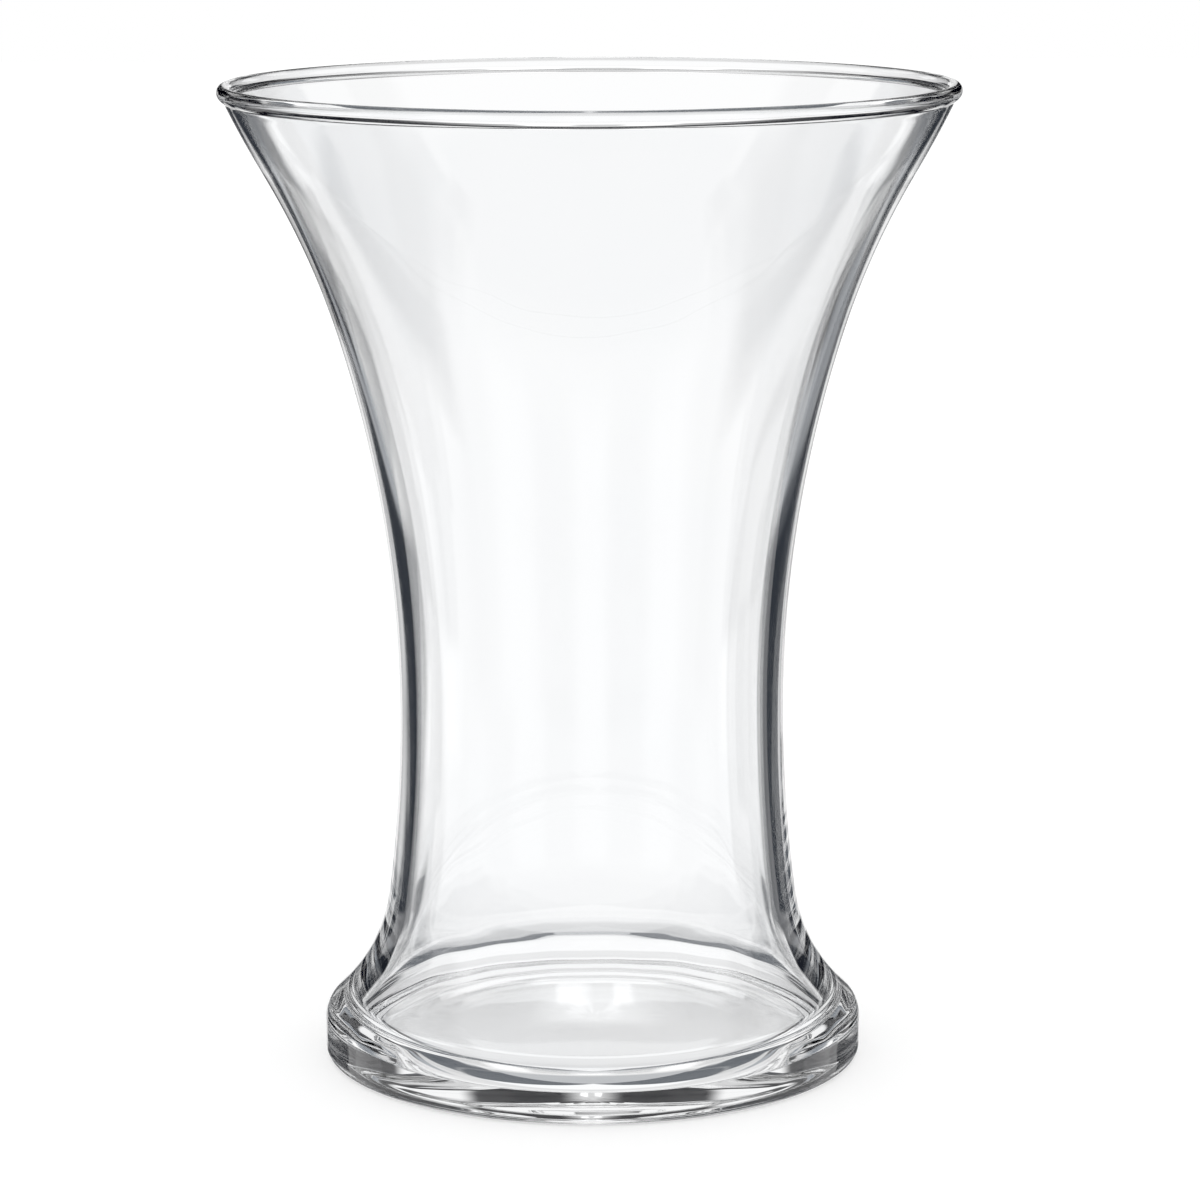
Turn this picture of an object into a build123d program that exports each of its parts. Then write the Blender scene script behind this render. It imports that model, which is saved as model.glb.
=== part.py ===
from build123d import *
from math import asin, cos, radians, sin, sqrt
import os

# A clear glass trumpet vase, turned about the Z axis.
# Millimetres, +Z up, origin at the centre of the plane that the foot stands on.

# Overall sizes
vase_height = 200.0
mouth_radius = 74.4
waist_radius = 39.3
waist_height = 73.0
foot_radius = 55.4

# Foot: the side's height is taken to where the shoulder's sweep would meet it unrounded
foot_side_height = 9.8
shoulder_round = 5.4
foot_edge_round = 2.0
floor_thickness = 4.4
floor_rise = 0.8
heel_wall = 2.6
heel_round = 4.0
foot_seam_height = 7.3
resting_ring_width = 11.4
recess_depth = 1.2

# Wall thickness, measured level, from the shoulder up to the lip
instep_wall = 4.25
waist_wall = 3.9
knee_wall = 2.9
lip_wall = 2.3

# Rim bead: an oval that leans outwards with the lip and ends the wall
lip_lean = 30.5
bead_thickness = 3.0
bead_length = 3.6
bead_neck = 2.1

# Shape of the flare: shares of the way from the waist out to the mouth and up to the rim
knee_out_share = 0.341
knee_up_share = 0.609
lip_out_share = 0.750
lip_up_share = 0.863

# Shape of the shoulder: shares of the way from the waist out to the foot and down to its side
instep_out_share = 0.163
instep_down_share = 0.618


def point_between(start, end, out_share, up_share):
    """The point at the given shares of the level and upright distances between two others."""
    level = start[0] + out_share * (end[0] - start[0])
    upright = start[1] + up_share * (end[1] - start[1])
    return (level, upright)


def inside(point, wall):
    """The point on the inner surface, level with one on the outer surface."""
    return (point[0] - wall, point[1])


# Outer points of the wall, as (radius, height)
waist = (waist_radius, waist_height)
knee = point_between(waist, (mouth_radius, vase_height), knee_out_share, knee_up_share)
lip = point_between(waist, (mouth_radius, vase_height), lip_out_share, lip_up_share)
shoulder = (foot_radius, foot_side_height)
instep = point_between(waist, shoulder, instep_out_share, instep_down_share)

# The bead's centre, set so that its oval just reaches the mouth's radius and the full height
half_long = bead_length / 2
half_thick = bead_thickness / 2
lean_out = sin(radians(lip_lean))
lean_up = cos(radians(lip_lean))
bead_reach_out = sqrt((half_long * lean_out) ** 2 + (half_thick * lean_up) ** 2)
bead_reach_up = sqrt((half_long * lean_up) ** 2 + (half_thick * lean_out) ** 2)
bead_centre = (mouth_radius - bead_reach_out, vase_height - bead_reach_up)

# The seam under the bead, square to the leaning lip, where the oval is as wide as its neck
seam_drop = half_long * cos(asin(bead_neck / bead_thickness))
seam_middle = (bead_centre[0] - seam_drop * lean_out, bead_centre[1] - seam_drop * lean_up)
seam_outer = (seam_middle[0] + bead_neck / 2 * lean_up, seam_middle[1] - bead_neck / 2 * lean_out)
seam_inner = (seam_middle[0] - bead_neck / 2 * lean_up, seam_middle[1] + bead_neck / 2 * lean_out)

# Inner points: the floor meets the unrounded heel short of the foot's side
waist_inside = inside(waist, waist_wall)
knee_inside = inside(knee, knee_wall)
lip_inside = inside(lip, lip_wall)
instep_inside = inside(instep, instep_wall)
heel = (foot_radius - heel_wall, floor_thickness)
floor_middle = (0, floor_thickness + floor_rise)
recess_middle = (0, recess_depth)
recess_edge = (foot_radius - resting_ring_width, 0)
foot_edge = (foot_radius, 0)

UP = (0, 1)
DOWN = (0, -1)
OUTWARDS = (1, 0)


def wall_surface(at_waist, at_knee, at_lip, at_seam, at_instep, at_foot):
    """One side of the wall, as arcs that run smoothly into each other from the waist."""
    flare = TangentArc(at_waist, at_knee, tangent=UP)
    trumpet = TangentArc(at_knee, at_lip, tangent=flare % 1)
    TangentArc(at_lip, at_seam, tangent=trumpet % 1)
    stem = TangentArc(at_waist, at_instep, tangent=DOWN)
    TangentArc(at_instep, at_foot, tangent=stem % 1)


# Half section of the foot and wall together, from which both are turned
with BuildSketch(Plane.XZ) as glass:
    with BuildLine():
        wall_surface(waist, knee, lip, seam_outer, instep, shoulder)
        wall_surface(waist_inside, knee_inside, lip_inside, seam_inner, instep_inside, heel)
        Line(seam_outer, seam_inner)
        TangentArc(floor_middle, heel, tangent=OUTWARDS)
        Line(floor_middle, recess_middle)
        TangentArc(recess_middle, recess_edge, tangent=OUTWARDS)
        Line(recess_edge, foot_edge)
        Line(foot_edge, shoulder)
    make_face()
    for corner, corner_round in (
        (shoulder, shoulder_round),
        (foot_edge, foot_edge_round),
        (heel, heel_round),
    ):
        fillet(glass.vertices().sort_by_distance(corner)[0], radius=corner_round)

# Foot: solid glass up to the seam, with the vase's inside floor in its top
with BuildPart() as foot:
    with BuildSketch(Plane.XZ):
        add(glass.sketch_local)
        Rectangle(
            foot_radius, foot_seam_height, align=(Align.MIN, Align.MIN), mode=Mode.INTERSECT
        )
    revolve(axis=Axis.Z)

# Trumpet wall: shoulder, waist and flare, from the foot's seam up to the bead's
with BuildPart() as trumpet_wall:
    with BuildSketch(Plane.XZ):
        add(glass.sketch_local)
        Rectangle(
            foot_radius, foot_seam_height, align=(Align.MIN, Align.MIN), mode=Mode.SUBTRACT
        )
    revolve(axis=Axis.Z)

# Rim bead: the fire-polished lip, rounded all over above its neck
with BuildPart() as rim_bead:
    with BuildSketch(Plane.XZ):
        with Locations(Location(bead_centre, -lip_lean)):
            Ellipse(half_thick, half_long)
            with Locations((0, -seam_drop)):
                Rectangle(
                    bead_thickness,
                    bead_length,
                    align=(Align.CENTER, Align.MAX),
                    mode=Mode.SUBTRACT,
                )
    revolve(axis=Axis.Z)

foot.part.label = "foot"
trumpet_wall.part.label = "trumpet_wall"
rim_bead.part.label = "rim_bead"

os.makedirs("parts", exist_ok=True)
export_step(foot.part, "parts/foot.step")
export_step(trumpet_wall.part, "parts/trumpet_wall.step")
export_step(rim_bead.part, "parts/rim_bead.step")
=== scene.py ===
import math

import bpy
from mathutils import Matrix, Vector


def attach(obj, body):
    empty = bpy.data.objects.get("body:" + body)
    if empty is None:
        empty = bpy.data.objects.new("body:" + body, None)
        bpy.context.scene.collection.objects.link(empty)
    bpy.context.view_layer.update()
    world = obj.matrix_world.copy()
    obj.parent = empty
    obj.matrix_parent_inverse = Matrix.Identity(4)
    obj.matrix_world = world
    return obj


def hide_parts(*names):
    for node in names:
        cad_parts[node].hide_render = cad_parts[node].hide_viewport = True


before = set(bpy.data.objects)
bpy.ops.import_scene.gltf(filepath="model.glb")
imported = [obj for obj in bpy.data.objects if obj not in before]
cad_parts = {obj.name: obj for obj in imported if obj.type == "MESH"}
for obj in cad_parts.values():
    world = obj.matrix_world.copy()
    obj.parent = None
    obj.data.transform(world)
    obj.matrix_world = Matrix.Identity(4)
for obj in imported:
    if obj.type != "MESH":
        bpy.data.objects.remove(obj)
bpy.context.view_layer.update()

MM = 0.001
FULL_TURN = 2 * math.pi

# The same sizes as the solids have, in millimetres
vase_height = 200.0
waist_radius = 39.3
waist_height = 73.0
foot_radius = 55.4
foot_side_height = 9.8
shoulder_round = 5.4
foot_edge_round = 2.0
floor_thickness = 4.4
floor_rise = 0.8
heel_wall = 2.6
heel_round = 4.0
resting_ring_width = 11.4
recess_depth = 1.2
instep_wall = 4.25
waist_wall = 3.9
knee_wall = 2.9
lip_wall = 2.3
lip_lean = 30.5
bead_thickness = 3.0
bead_length = 3.6
bead_neck = 2.1
knee_out_share = 0.341
knee_up_share = 0.609
lip_out_share = 0.750
lip_up_share = 0.863
instep_out_share = 0.163
instep_down_share = 0.618

# The solids' mouth, less a hair, so that this finer mesh stays inside their flat facets
solid_mouth_radius = 74.4
facet_allowance = 0.01
mouth_radius = solid_mouth_radius - facet_allowance

# How finely the glass is divided: copies of the half section round the axis, the longest steps
# along the section in millimetres, and the number of steps along its shortest stretches
turns = 512
wall_step = 1.5
sweep_step = 1.0
small_step = 0.45
neck_step = 0.22
bead_steps = 9
ring_steps = 6
side_steps = 5

# The soft run from the lip's wall through the neck into the bead, in millimetres
neck_softness = 0.2
neck_run = 0.35
lip_spare_share = 0.04
oval_from_share = 0.35

# How far hand-worked glass strays from true, in millimetres
inside_stray = 0.09
outside_stray = 0.06
floor_ring_height = 0.12
floor_ring_width = 1.6
floor_ring_radii = (32.6, 39.0)

# The waves that make up the straying: share of the whole, how many go round the vase, the phase in
# radians at the start, and the height in millimetres over which the phase moves on by one radian,
# or back by one where it is negative
wander_waves = (
    (0.5, 3, 0.7, 55),
    (0.3, 8, 2.1, -37),
    (0.2, 19, 0.4, 80),
)

# Heights between which the straying sets in above the foot's edge and the inside floor,
# and how far below the rim it starts to die out and has died out
foot_fade = (0.5, 4.0)
floor_fade = (12.0, 45.0)
rim_fade_from = 40.0
rim_fade_to = 10.0
rim_fade = (vase_height - rim_fade_from, vase_height - rim_fade_to)


def share_point(start, end, out_share, up_share):
    """The point at the given shares of the level and upright distances between two others."""
    return Vector((
        start[0] + out_share * (end[0] - start[0]),
        start[1] + up_share * (end[1] - start[1]),
    ))


class Arc:
    """An arc in the half section, from one point to another, that starts along a direction."""

    def __init__(self, start, end, along):
        self.start = Vector(start)
        self.end = Vector(end)
        along = Vector(along).normalized()
        side = Vector((-along.y, along.x))
        chord = self.end - self.start
        signed_radius = chord.length_squared / (2 * side.dot(chord))
        self.turns_left = signed_radius > 0
        self.radius = abs(signed_radius)
        self.centre = self.start + side * signed_radius
        leave = self.start - self.centre
        self.from_angle = math.atan2(leave.y, leave.x)
        self.turn = self.turn_to(self.end)

    def turn_to(self, point):
        """The angle turned through, in the arc's own sense, on the way to a point's direction."""
        reach = Vector(point) - self.centre
        turn = math.atan2(reach.y, reach.x) - self.from_angle
        if self.turns_left:
            return turn % FULL_TURN
        return -((-turn) % FULL_TURN)

    def at(self, share):
        angle = self.from_angle + share * self.turn
        return self.centre + self.radius * Vector((math.cos(angle), math.sin(angle)))

    def end_along(self):
        angle = self.from_angle + self.turn
        sign = 1 if self.turn > 0 else -1
        return Vector((-math.sin(angle), math.cos(angle))) * sign

    def share_at(self, point):
        """The share of the way along at which the arc comes nearest to a point."""
        return self.turn_to(point) / self.turn

    def points(self, step, first=0.0, last=1.0):
        length = self.radius * abs(self.turn) * (last - first)
        count = max(2, math.ceil(length / step))
        return [self.at(first + (last - first) * i / count) for i in range(count + 1)]


def round_points(centre, radius, start, end, step):
    """The short way round a circle between two points on it."""
    a = math.atan2(start.y - centre.y, start.x - centre.x)
    b = math.atan2(end.y - centre.y, end.x - centre.x)
    turn = (b - a + math.pi) % FULL_TURN - math.pi
    count = max(3, math.ceil(abs(turn) * radius / step))
    angles = [a + turn * i / count for i in range(count + 1)]
    return [centre + radius * Vector((math.cos(angle), math.sin(angle))) for angle in angles]


def line_points(start, end, steps):
    """Evenly spaced points on a line, without its first."""
    return [start.lerp(end, i / steps) for i in range(1, steps + 1)]


def circles_meet(c1, r1, c2, r2, near):
    """The point where two circles cross that is nearer to a given one."""
    between = c2 - c1
    d = between.length
    along = (d * d + r1 * r1 - r2 * r2) / (2 * d)
    up = math.sqrt(r1 * r1 - along * along)
    unit = between / d
    side = Vector((-unit.y, unit.x))
    choices = [c1 + unit * along + side * up, c1 + unit * along - side * up]
    return min(choices, key=lambda p: (p - Vector(near)).length)


def wall_arcs(at_waist, at_knee, at_lip, at_seam, at_instep, at_foot):
    """One side of the wall, as arcs that run smoothly into each other from the waist."""
    flare = Arc(at_waist, at_knee, (0, 1))
    trumpet = Arc(at_knee, at_lip, flare.end_along())
    lip_arc = Arc(at_lip, at_seam, trumpet.end_along())
    stem = Arc(at_waist, at_instep, (0, -1))
    sweep = Arc(at_instep, at_foot, stem.end_along())
    return flare, trumpet, lip_arc, stem, sweep


# Outer points of the wall, as (radius, height)
waist = Vector((waist_radius, waist_height))
rim_corner = (mouth_radius, vase_height)
knee = share_point(waist, rim_corner, knee_out_share, knee_up_share)
lip = share_point(waist, rim_corner, lip_out_share, lip_up_share)
shoulder = Vector((foot_radius, foot_side_height))
instep = share_point(waist, shoulder, instep_out_share, instep_down_share)
heel = Vector((foot_radius - heel_wall, floor_thickness))

# The rim bead leans outwards with the lip and just reaches the mouth's radius and full height
half_long = bead_length / 2
half_thick = bead_thickness / 2
lean = Vector((math.sin(math.radians(lip_lean)), math.cos(math.radians(lip_lean))))
across = Vector((lean.y, -lean.x))
bead_centre = Vector((
    mouth_radius - math.hypot(half_long * lean.x, half_thick * lean.y),
    vase_height - math.hypot(half_long * lean.y, half_thick * lean.x),
))
seam_drop = half_long * math.cos(math.asin(bead_neck / bead_thickness))
seam_middle = bead_centre - lean * seam_drop
seam_outer = seam_middle + across * bead_neck / 2
seam_inner = seam_middle - across * bead_neck / 2

outer = wall_arcs(waist, knee, lip, seam_outer, instep, shoulder)
inner = wall_arcs(
    waist - Vector((waist_wall, 0)),
    knee - Vector((knee_wall, 0)),
    lip - Vector((lip_wall, 0)),
    seam_inner,
    instep - Vector((instep_wall, 0)),
    heel,
)


def underside_points():
    """From the axis over the shallow recess and the resting ring to the foot's edge."""
    recess_edge = (foot_radius - resting_ring_width, 0)
    recess = Arc((0, recess_depth), recess_edge, (1, 0)).points(wall_step)
    ring_end = Vector((foot_radius - foot_edge_round, 0))
    return recess + line_points(recess[-1], ring_end, ring_steps)


def foot_side_points(sweep):
    """Round the foot's edge, up its side and round its shoulder, and where that meets the sweep."""
    edge_centre = Vector((foot_radius - foot_edge_round, foot_edge_round))
    edge_start = Vector((edge_centre.x, 0))
    side_start = Vector((foot_radius, foot_edge_round))
    points = round_points(edge_centre, foot_edge_round, edge_start, side_start, small_step)[1:]

    round_x = foot_radius - shoulder_round
    reach = sweep.radius + shoulder_round
    round_y = sweep.centre.y - math.sqrt(reach**2 - (sweep.centre.x - round_x) ** 2)
    round_centre = Vector((round_x, round_y))
    side_end = Vector((foot_radius, round_y))
    touch = sweep.centre + (round_centre - sweep.centre).normalized() * sweep.radius
    points += line_points(side_start, side_end, side_steps)
    points += round_points(round_centre, shoulder_round, side_end, touch, small_step)[1:]
    return points, touch


def lip_share(lip_arc):
    """How much of the lip's arc is kept below the soft run into the bead."""
    return 1 - neck_run / (lip_arc.end - lip_arc.start).length - lip_spare_share


def outside_points():
    """From the axis under the foot, round the outside and up to just short of the bead."""
    flare, trumpet, lip_arc, stem, sweep = outer
    points = underside_points()
    foot_side, touch = foot_side_points(sweep)
    points += foot_side
    points += reversed(sweep.points(sweep_step, 0.0, sweep.share_at(touch))[:-1])
    points += reversed(stem.points(wall_step)[:-1])
    points += flare.points(wall_step)[1:]
    points += trumpet.points(wall_step)[1:]
    points += lip_arc.points(sweep_step, 0.0, lip_share(lip_arc))[1:]
    return points


def bead_half_width(s):
    """Half the thickness at a distance above the bead's centre: neck and oval run together softly."""
    oval = half_thick * math.sqrt(max(0.0, 1 - (s / half_long) ** 2))
    neck = bead_neck / 2
    lap = max(neck_softness - abs(oval - neck), 0.0) / neck_softness
    return max(oval, neck) + lap * lap * neck_softness / 4


def bead_points():
    """Over the bead from its outside to its inside."""
    half = []
    oval_from = oval_from_share * half_long
    s = -seam_drop - neck_run
    while s < oval_from:
        half.append((s, bead_half_width(s)))
        s += neck_step
    start_angle = math.asin(oval_from_share)
    for i in range(bead_steps + 1):
        a = start_angle + (math.pi / 2 - start_angle) * i / bead_steps
        half.append((half_long * math.sin(a), half_thick * math.cos(a)))
    outside = [bead_centre + lean * s + across * w for s, w in half]
    inside = [bead_centre + lean * s - across * w for s, w in reversed(half[:-1])]
    return outside + inside


def inside_points():
    """From just under the bead down the inside and across the floor to the axis."""
    flare, trumpet, lip_arc, stem, sweep = inner
    points = list(reversed(lip_arc.points(sweep_step, 0.0, lip_share(lip_arc))))
    points += reversed(trumpet.points(wall_step)[:-1])
    points += reversed(flare.points(wall_step)[:-1])
    points += stem.points(wall_step)[1:]

    floor_arc = Arc((0, floor_thickness + floor_rise), heel, (1, 0))
    heel_centre = circles_meet(
        sweep.centre,
        sweep.radius + heel_round,
        floor_arc.centre,
        floor_arc.radius + heel_round,
        heel,
    )
    on_wall = sweep.centre + (heel_centre - sweep.centre).normalized() * sweep.radius
    on_floor = floor_arc.centre + (heel_centre - floor_arc.centre).normalized() * floor_arc.radius
    points += sweep.points(sweep_step, 0.0, sweep.share_at(on_wall))[1:]
    points += round_points(heel_centre, heel_round, on_wall, on_floor, small_step)[1:]
    points += reversed(floor_arc.points(wall_step, 0.0, floor_arc.share_at(on_floor))[:-1])
    return points


def fade_in(value, start, end):
    """Nought before the start and one after the end, with a smooth run between."""
    share = min(1.0, max(0.0, (value - start) / (end - start)))
    return share * share * (3 - 2 * share)


def unevenness(angle, height):
    """A smooth wander from -1 to 1, in long streaks up the wall, the same on every run."""
    return sum(
        share * math.sin(count * angle + start + height / turn_height)
        for share, count, start, turn_height in wander_waves
    )


def floor_rings(radius):
    """How far the faint pressing rings stand up from the inside floor."""
    swell = sum(math.exp(-(((radius - ring) / floor_ring_width) ** 2)) for ring in floor_ring_radii)
    return floor_ring_height * swell


def ring_verts(point, along, is_outside):
    """One turn of the section's point, which strays a little along the surface's normal."""
    out_of_glass = Vector((along.y, -along.x))
    true_rim = 1 - fade_in(point.y, *rim_fade)
    if is_outside:
        depth = outside_stray * true_rim * fade_in(point.y, *foot_fade)
    else:
        depth = inside_stray * true_rim * fade_in(point.y, *floor_fade)
        if point.y < floor_thickness + floor_rise:
            point = point + Vector((0, floor_rings(point.x)))
    verts = []
    for j in range(turns):
        angle = FULL_TURN * j / turns
        stray = depth * unevenness(angle, point.y)
        if is_outside:
            # The outside strays inwards only, so that it stays inside the solids' box
            stray = (stray - depth) / 2
        radius = (point.x + out_of_glass.x * stray) * MM
        height = (point.y + out_of_glass.y * stray) * MM
        verts.append((radius * math.cos(angle), radius * math.sin(angle), height))
    return verts


def turned_mesh(name, section):
    """Turns a half section, which starts and ends on the axis, into one closed mesh."""
    rim_index = max(range(len(section)), key=lambda i: section[i].y)
    verts = [(0, 0, section[0].y * MM)]
    for i in range(1, len(section) - 1):
        along = (section[i + 1] - section[i - 1]).normalized()
        verts += ring_verts(section[i], along, i <= rim_index)
    verts.append((0, 0, section[-1].y * MM))

    last = len(verts) - 1
    top = last - turns
    faces = []
    for j in range(turns):
        k = (j + 1) % turns
        faces.append((0, 1 + k, 1 + j))
        for low in range(1, top, turns):
            high = low + turns
            faces.append((low + j, low + k, high + k, high + j))
        faces.append((top + j, top + k, last))
    mesh = bpy.data.meshes.new(name)
    mesh.from_pydata(verts, [], faces)
    mesh.validate()
    mesh.polygons.foreach_set("use_smooth", [True] * len(mesh.polygons))
    mesh.update()
    return mesh


section = outside_points() + bead_points() + inside_points()
vase = bpy.data.objects.new("vase_glass", turned_mesh("vase_glass", section))
bpy.context.scene.collection.objects.link(vase)


class NodeTree:
    """Shorthand for building a node tree from nothing."""

    def __init__(self, tree):
        self.nodes = tree.nodes
        self.links = tree.links
        self.nodes.clear()

    def add(self, kind, **settings):
        node = self.nodes.new("ShaderNode" + kind)
        for name, value in settings.items():
            setattr(node, name, value)
        return node

    def feed(self, socket, value):
        """Gives an input socket a number, a colour or another node's output."""
        if isinstance(value, bpy.types.NodeSocket):
            self.links.new(value, socket)
        elif isinstance(value, tuple) and len(value) == 3 and socket.type == "RGBA":
            socket.default_value = (*value, 1.0)
        else:
            socket.default_value = value

    def math(self, operation, *values):
        node = self.add("Math", operation=operation)
        for socket, value in zip(node.inputs, values):
            self.feed(socket, value)
        return node.outputs[0]


def new_material(name):
    material = bpy.data.materials.new(name)
    material.use_nodes = True
    return material, NodeTree(material.node_tree)


# Clear colourless glass, with the faint streaks and drifting tint of hand-worked glass
glass_index = 1.52
streak_scale = 70.0
streak_detail = 2.0
streak_stretch = (1.0, 1.0, 0.1)
streak_depth = 0.000008
drift_scale = 25.0
cooler_tint = (0.986, 0.992, 0.998, 1.0)
clearer_tint = (0.994, 0.997, 1.0, 1.0)
cooler_at = 0.3
clearer_at = 0.7


def clear_glass():
    """Clear glass, unevenly streaked and tinted by noise that stays with the object."""
    material, tree = new_material("clear_glass")
    glass = tree.add("BsdfPrincipled")
    glass.inputs["Transmission Weight"].default_value = 1.0
    glass.inputs["IOR"].default_value = glass_index
    glass.inputs["Roughness"].default_value = 0.0
    place = tree.add("TexCoord").outputs["Object"]

    stretch = tree.add("Mapping")
    tree.feed(stretch.inputs["Vector"], place)
    tree.feed(stretch.inputs["Scale"], streak_stretch)
    streaks = tree.add("TexNoise")
    tree.feed(streaks.inputs["Vector"], stretch.outputs["Vector"])
    tree.feed(streaks.inputs["Scale"], streak_scale)
    tree.feed(streaks.inputs["Detail"], streak_detail)
    bump = tree.add("Bump")
    tree.feed(bump.inputs["Strength"], 1.0)
    tree.feed(bump.inputs["Distance"], streak_depth)
    tree.feed(bump.inputs["Height"], streaks.outputs["Fac"])
    tree.feed(glass.inputs["Normal"], bump.outputs["Normal"])

    drift = tree.add("TexNoise")
    tree.feed(drift.inputs["Vector"], place)
    tree.feed(drift.inputs["Scale"], drift_scale)
    tints = tree.add("ValToRGB")
    cooler, clearer = tints.color_ramp.elements
    cooler.position = cooler_at
    cooler.color = cooler_tint
    clearer.position = clearer_at
    clearer.color = clearer_tint
    tree.feed(tints.inputs["Fac"], drift.outputs["Fac"])
    tree.feed(glass.inputs["Base Color"], tints.outputs["Color"])

    tree.feed(tree.add("OutputMaterial").inputs["Surface"], glass.outputs["BSDF"])
    return material


vase.data.materials.append(clear_glass())
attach(vase, "root")
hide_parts("foot", "trumpet_wall", "rim_bead")


# A white floor, just under the foot, that keeps the vase's shadow
floor_half = 3.0
floor_drop = 0.00005
floor_grey = (0.65, 0.65, 0.65)
floor_glow = 0.47


def mirrored_ray(tree):
    """One for rays that the glass has reflected or bent, nought for the camera's own."""
    path = tree.add("LightPath")
    return tree.math("MAXIMUM", path.outputs["Is Glossy Ray"], path.outputs["Is Transmission Ray"])


def floor_white():
    """White to the camera, and clear to rays from the glass, which see the cards instead."""
    material, tree = new_material("floor_white")
    matte = tree.add("BsdfDiffuse")
    tree.feed(matte.inputs["Color"], floor_grey)
    glow = tree.add("Emission")
    tree.feed(glow.inputs["Strength"], floor_glow)
    lit = tree.add("AddShader")
    tree.feed(lit.inputs[0], matte.outputs[0])
    tree.feed(lit.inputs[1], glow.outputs[0])
    mixed = tree.add("MixShader")
    tree.feed(mixed.inputs["Fac"], mirrored_ray(tree))
    tree.feed(mixed.inputs[1], lit.outputs[0])
    tree.feed(mixed.inputs[2], tree.add("BsdfTransparent").outputs[0])
    tree.feed(tree.add("OutputMaterial").inputs["Surface"], mixed.outputs[0])
    return material


def square_floor():
    mesh = bpy.data.meshes.new("floor")
    corners = [
        (-floor_half, -floor_half, 0),
        (floor_half, -floor_half, 0),
        (floor_half, floor_half, 0),
        (-floor_half, floor_half, 0),
    ]
    mesh.from_pydata(corners, [], [(0, 1, 2, 3)])
    floor = bpy.data.objects.new("floor", mesh)
    bpy.context.scene.collection.objects.link(floor)
    floor.location.z = -floor_drop
    mesh.materials.append(floor_white())
    return floor


square_floor()


# What the camera and floor see all round, and what the glass sees where no card stands
white = (1.0, 1.0, 1.0)
studio_grey = 0.65

# Cards darker than the first value turn a little blue. The others are multiplied by how far below
# it a card is: the share that red loses, the share that blue gains, and blue added even to black
blue_below = 0.6
less_red = 0.25
more_blue = 0.3
blue_in_black = 0.005

# Light and dark cards all round the vase, alike on its left and right. Each is laid over those
# before it: brightness, degrees from straight behind, degrees up, and how soft its upright and
# level edges are
cards = (
    # Overhead
    (0.15, (0, 180), (40, 95), (0, 3)),
    (0.8, (60, 100), (40, 95), (6, 6)),
    (0.25, (45, 60), (20, 45), (3, 3)),
    (0.95, (60, 80), (20, 50), (4, 4)),
    (0.0, (0, 45), (18, 26), (2, 2)),
    (0.95, (0, 20), (25, 43), (2, 2)),
    # Ahead: what stands level with the vase
    (0.0, (2.5, 110), (0, 20), (4, 2)),
    (0.95, (18, 34), (13, 20), (4, 2)),
    (0.95, (33, 80), (-20, 0), (3, 2)),
    (1.4, (57, 80), (-18, -10), (3, 2)),
    (0.1, (62, 75), (-9, 10), (3, 2)),
    (0.035, (9, 50), (-18.5, -8), (2, 2)),
    (0.02, (9, 40), (-9, -4), (2, 2)),
    (0.0, (18, 36), (-4, 13), (2, 2)),
    # Table
    (1.05, (42, 180), (-40, -18.5), (3, 2)),
    (0.45, (24, 42), (-21, -18), (2, 1.5)),
    (0.0, (14, 33), (-41, -20), (2, 1.5)),
    (0.0, (33, 43), (-41, -28), (2, 2)),
    (0.4, (18, 30), (-41, -33.5), (3, 2)),
    (0.1, (45, 110), (-55, -34), (4, 3)),
    (0.1, (0, 115), (-95, -55), (4, 4)),
    (0.5, (115, 180), (-95, -50), (4, 4)),
    (1.0, (0, 30), (-95, -53), (6, 6)),
    (0.75, (0, 30), (-55, -41), (4, 3)),
    (0.8, (0, 18), (-41, -26), (3, 3)),
    # In front of the vase, with a side window
    (1.12, (100, 180), (-44, 60), (10, 16)),
    (0.97, (78, 102), (-30, 8), (3, 3)),
    (0.72, (102, 124), (-42, -15), (10, 6)),
    (0.72, (146, 170), (-42, -15), (10, 6)),
    # Window
    (0.88, (0, 20.5), (-14.7, -11.3), (2.5, 1.2)),
    (0.84, (0, 15), (-18, -10.5), (2.5, 1.5)),
    (0.92, (0, 14), (-20.5, -16.5), (2.5, 1.5)),
    (0.98, (0, 9.5), (-27, 1), (1.5, 2)),
    (0.95, (0, 6), (0, 6), (2, 1.5)),
    (1.35, (0.5, 1.4), (9, 15), (0.4, 1)),
    (1.2, (0, 2.8), (5, 9), (1.5, 2)),
)

# Dark flags that edge the vase where the views from behind look through it. Unlike real flags,
# they are hidden from every ray that has been reflected, so that the glass doesn't mirror them
flags = (
    (0.02, (101, 126), (-34, 10), (3, 4)),
    (0.02, (144, 170), (-34, 10), (3, 4)),
)


def tint(brightness):
    """A grey that turns a little blue where it is dark."""
    cool = max(0.0, blue_below - brightness)
    return (
        brightness * (1 - less_red * cool),
        brightness,
        brightness * (1 + more_blue * cool) + blue_in_black * cool,
    )


def mix_colours(tree, share, first, second):
    node = tree.add("Mix", data_type="RGBA")
    share_socket, first_socket, second_socket = node.inputs[0], node.inputs[6], node.inputs[7]
    tree.feed(share_socket, share)
    tree.feed(first_socket, first)
    tree.feed(second_socket, second)
    return node.outputs[2]


def within(tree, value, low, high, soft):
    """One inside a range of degrees and nought outside it, with a soft edge."""
    middle, half = (low + high) / 2, (high - low) / 2
    away = tree.math("ABSOLUTE", tree.math("SUBTRACT", value, middle))
    step = tree.add("MapRange", interpolation_type="SMOOTHSTEP")
    tree.feed(step.inputs["Value"], away)
    tree.feed(step.inputs["From Min"], half - soft / 2)
    tree.feed(step.inputs["From Max"], half + soft / 2)
    tree.feed(step.inputs["To Min"], 1.0)
    tree.feed(step.inputs["To Max"], 0.0)
    return step.outputs["Result"]


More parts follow.
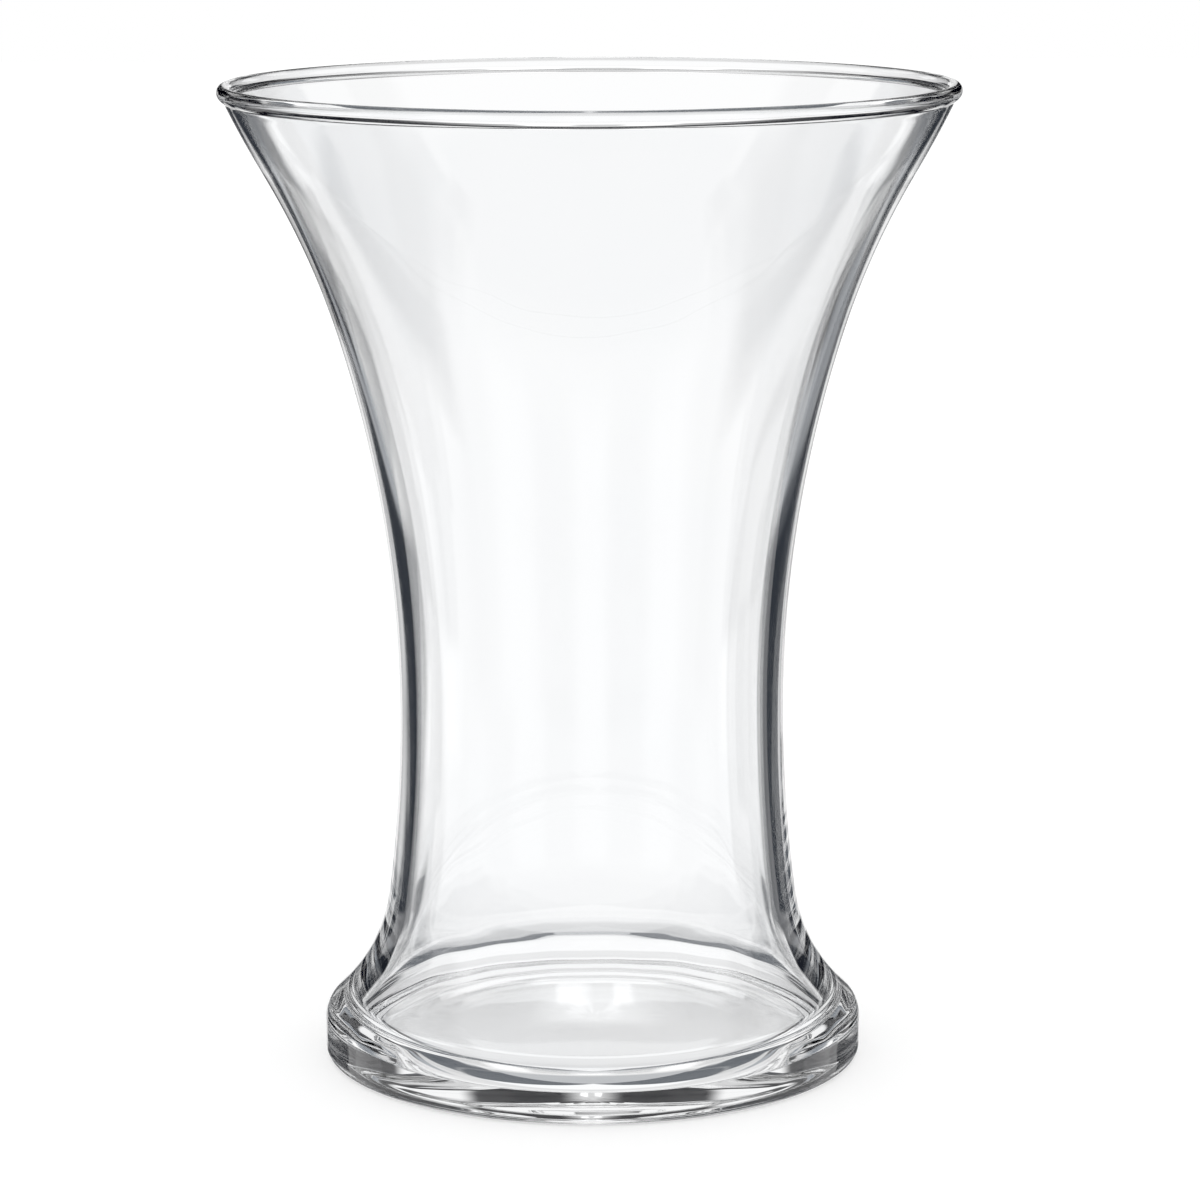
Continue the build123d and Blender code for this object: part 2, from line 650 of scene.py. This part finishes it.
def with_card(tree, studio, aside, elevation, card):
    """Lays one card over the studio, on both sides of the vase.

    A card from 0 or to 180 degrees meets its mirror image there, so it has no edge on that side.
    """
    brightness, (near, far), (low, high), (side_soft, level_soft) = card
    if near == 0:
        near = -far
    if far == 180:
        far = 360 - near
    across_card = within(tree, aside, near, far, side_soft)
    up_card = within(tree, elevation, low, high, level_soft)
    return mix_colours(tree, tree.math("MULTIPLY", across_card, up_card), studio, tint(brightness))


def light_studio():
    """A white world to the camera and floor; rays from the glass see the cards."""
    world = bpy.data.worlds.new("studio")
    bpy.context.scene.world = world
    world.use_nodes = True
    tree = NodeTree(world.node_tree)
    split = tree.add("SeparateXYZ")
    tree.feed(split.inputs[0], tree.add("TexCoord").outputs["Generated"])
    around = tree.math("ARCTAN2", split.outputs["X"], split.outputs["Y"])
    aside = tree.math("DEGREES", tree.math("ABSOLUTE", around))
    elevation = tree.math("DEGREES", tree.math("ARCSINE", split.outputs["Z"]))
    studio = tint(studio_grey)
    for card in cards:
        studio = with_card(tree, studio, aside, elevation, card)
    seen_through = studio
    for flag in flags:
        seen_through = with_card(tree, seen_through, aside, elevation, flag)
    reflections = tree.add("LightPath").outputs["Glossy Depth"]
    never_mirrored = tree.math("LESS_THAN", reflections, 1)
    studio = mix_colours(tree, never_mirrored, studio, seen_through)
    background = tree.add("Background")
    colour = mix_colours(tree, mirrored_ray(tree), white, studio)
    tree.feed(background.inputs["Color"], colour)
    tree.feed(tree.add("OutputWorld").inputs["Surface"], background.outputs[0])


light_studio()


# Light goes many times to and fro inside the thick foot before it leaves
most_bounces = 40
cycles = bpy.context.scene.cycles
cycles.max_bounces = most_bounces
cycles.glossy_bounces = most_bounces
cycles.transmission_bounces = most_bounces

# The photographed view, from a little above the rim
lens = 131.6
sensor_width = 36.0
camera_place = (0.0023, -0.880, 0.264)
camera_down = 10.9
camera_roll = 0.176


def place_camera():
    camera_data = bpy.data.cameras.new("camera")
    camera_data.lens = lens
    camera_data.sensor_width = sensor_width
    camera = bpy.data.objects.new("camera", camera_data)
    bpy.context.scene.collection.objects.link(camera)
    camera.location = camera_place
    camera.rotation_mode = "XYZ"
    camera.rotation_euler = (math.radians(90 - camera_down), math.radians(camera_roll), 0)
    bpy.context.scene.camera = camera


place_camera()
bpy.context.scene.view_settings.view_transform = "Standard"
